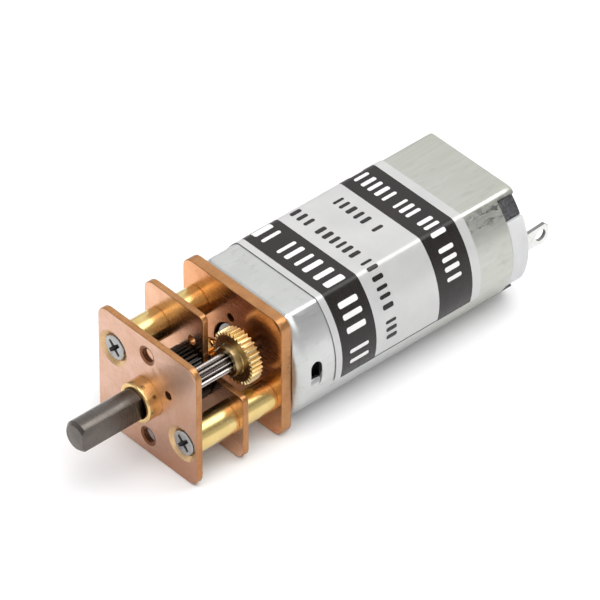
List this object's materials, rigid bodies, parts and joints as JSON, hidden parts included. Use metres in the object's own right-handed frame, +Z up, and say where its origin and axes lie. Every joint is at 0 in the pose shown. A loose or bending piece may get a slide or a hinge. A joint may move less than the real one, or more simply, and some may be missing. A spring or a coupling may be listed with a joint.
{
  "type": "gearmotor",
  "caption": "Small brushed DC gearmotor: open spur gearbox of copper plates on brass posts, flat-sided steel motor can, D-shaft at the front, solder terminals at the rear.",
  "frame": {"origin": "centre of the bounding box's bottom face, under the output shaft's axis line", "axes": "the output and motor shafts lie along Y, the D-shaft's tip towards -Y and the solder terminals towards +Y; +Z up"},
  "size_m": [0.0158, 0.0498, 0.013],
  "materials": {
    "copper_plate": "satin copper-coloured sheet with more orange cut edges",
    "brass": "polished turned brass",
    "screw_steel": "bright zinc-plated steel",
    "can_steel": "plated drawn steel, satin",
    "bronze": "sintered bronze",
    "nylon": "off-white moulded nylon",
    "washer_nylon": "natural nylon",
    "magnet": "sintered ferrite, matt",
    "spring_copper": "rolled beryllium-copper strip",
    "graphite": "pressed carbon",
    "tinned_brass": "tinned brass strip",
    "label": "satin silver label with dark bands",
    "shaft_steel": "ground steel, darkened",
    "gear_steel": "blackened steel",
    "pinion_steel": "bright steel",
    "lamination": "stacked electrical steel",
    "enamelled_wire": "enamelled copper winding",
    "commutator_plastic": "moulded phenolic",
    "commutator_copper": "turned copper"
  },
  "bodies": {
    "gearmotor_frame": {"front_plate": "copper_plate", "middle_plate": "copper_plate", "rear_plate": "copper_plate", "front_spacer_left": "brass", "front_spacer_right": "brass", "rear_spacer_left": "brass", "rear_spacer_right": "brass", "frame_screw_left": "screw_steel", "frame_screw_right": "screw_steel", "locating_pin": "brass", "output_bush": "brass", "motor_can": "can_steel", "front_bearing": "bronze", "rear_bearing": "bronze", "end_bell": "nylon", "magnet_left": "magnet", "magnet_right": "magnet", "brush_left": "graphite", "brush_right": "graphite", "brush_spring_left": "spring_copper", "brush_spring_right": "spring_copper", "terminal_left": "tinned_brass", "terminal_right": "tinned_brass", "label": "label"},
    "output_shaft_body": {"output_shaft": "shaft_steel", "output_gear": "gear_steel"},
    "compound_gear_body": {"compound_gear": "brass", "compound_pinion": "pinion_steel"},
    "motor_rotor": {"motor_shaft": "pinion_steel", "motor_pinion": "brass", "rotor_core": "lamination", "coil_1": "enamelled_wire", "coil_2": "enamelled_wire", "coil_3": "enamelled_wire", "commutator_base": "commutator_plastic", "commutator_segment_1": "commutator_copper", "commutator_segment_2": "commutator_copper", "commutator_segment_3": "commutator_copper", "front_washer": "washer_nylon", "rear_washer": "washer_nylon"}
  },
  "joints": [
    {"name": "motor_rotor_spin", "type": "hinge", "parent": "gearmotor_frame", "child": "motor_rotor", "pos_m": [0, 0.0058, 0.0065], "axis": [0, 1, 0], "continuous": true},
    {"name": "compound_gear_spin", "type": "hinge", "parent": "gearmotor_frame", "child": "compound_gear_body", "pos_m": [0.0027, -0.0091, 0.00826], "axis": [0, 1, 0], "continuous": true},
    {"name": "output_shaft_spin", "type": "hinge", "parent": "gearmotor_frame", "child": "output_shaft_body", "pos_m": [0, -0.0136, 0.0065], "axis": [0, 1, 0], "continuous": true}
  ],
  "couplings": [
    {"joint": "compound_gear_spin", "follows": "motor_rotor_spin", "ratio": -0.30303},
    {"joint": "output_shaft_spin", "follows": "motor_rotor_spin", "ratio": 0.091827}
  ]
}
